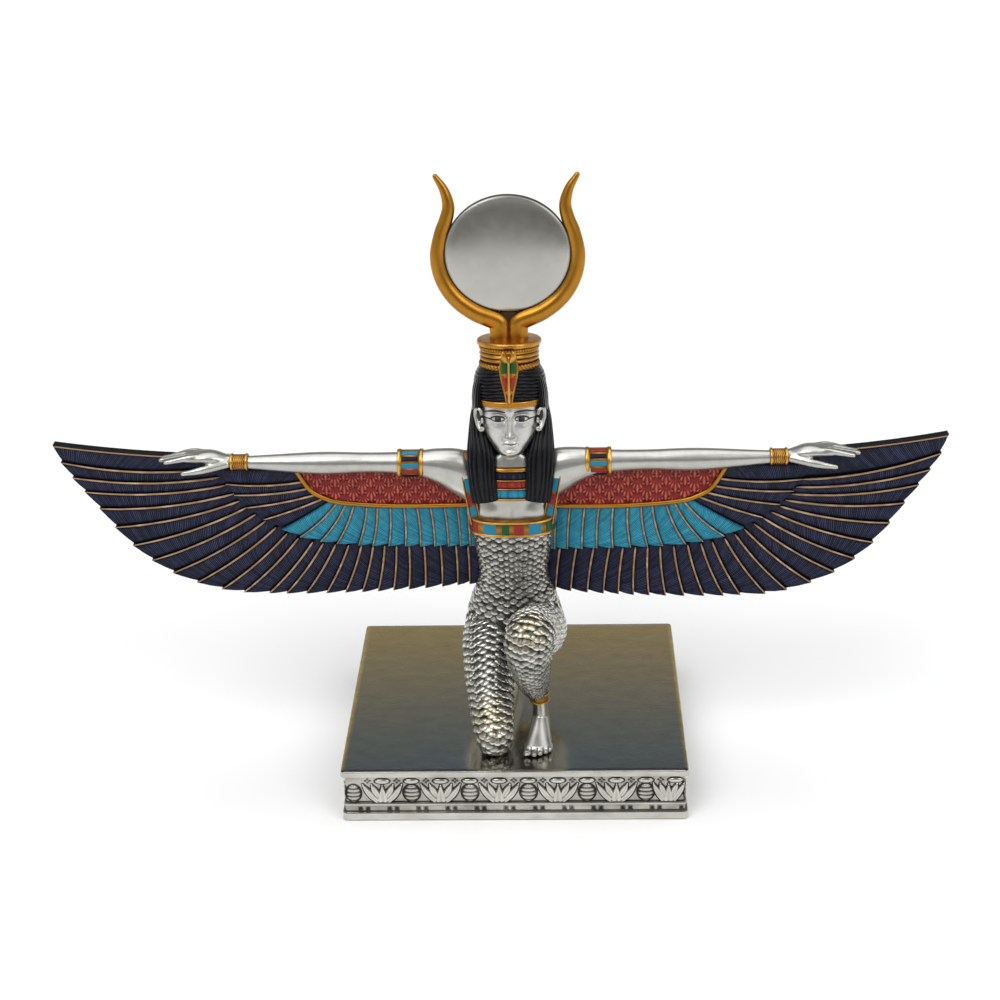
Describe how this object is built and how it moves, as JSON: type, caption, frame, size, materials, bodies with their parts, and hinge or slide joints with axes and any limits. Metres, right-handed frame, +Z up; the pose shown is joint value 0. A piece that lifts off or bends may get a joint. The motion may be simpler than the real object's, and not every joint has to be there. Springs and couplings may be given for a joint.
{
  "type": "winged goddess statuette",
  "caption": "Statuette of a kneeling goddess with outspread winged arms, scaled dress and horned sun-disc crown, on a rectangular plinth with a lotus frieze",
  "frame": {"origin": "centre of the plinth's underside, on the surface it stands on", "axes": "+X the viewer's right, along the spread wings; +Y away from the viewer, the way the figure's back faces; +Z up"},
  "size_m": [0.3872, 0.128, 0.2651],
  "materials": {
    "silver_paint": "satin",
    "plinth_silver_paint": "satin",
    "gold_paint": "satin",
    "navy_paint": "satin",
    "turquoise_paint": "satin",
    "red_paint": "satin",
    "black_paint": "gloss"
  },
  "bodies": {
    "root": {"winged_figure": "silver_paint", "plinth": "plinth_silver_paint"}
  },
  "joints": []
}
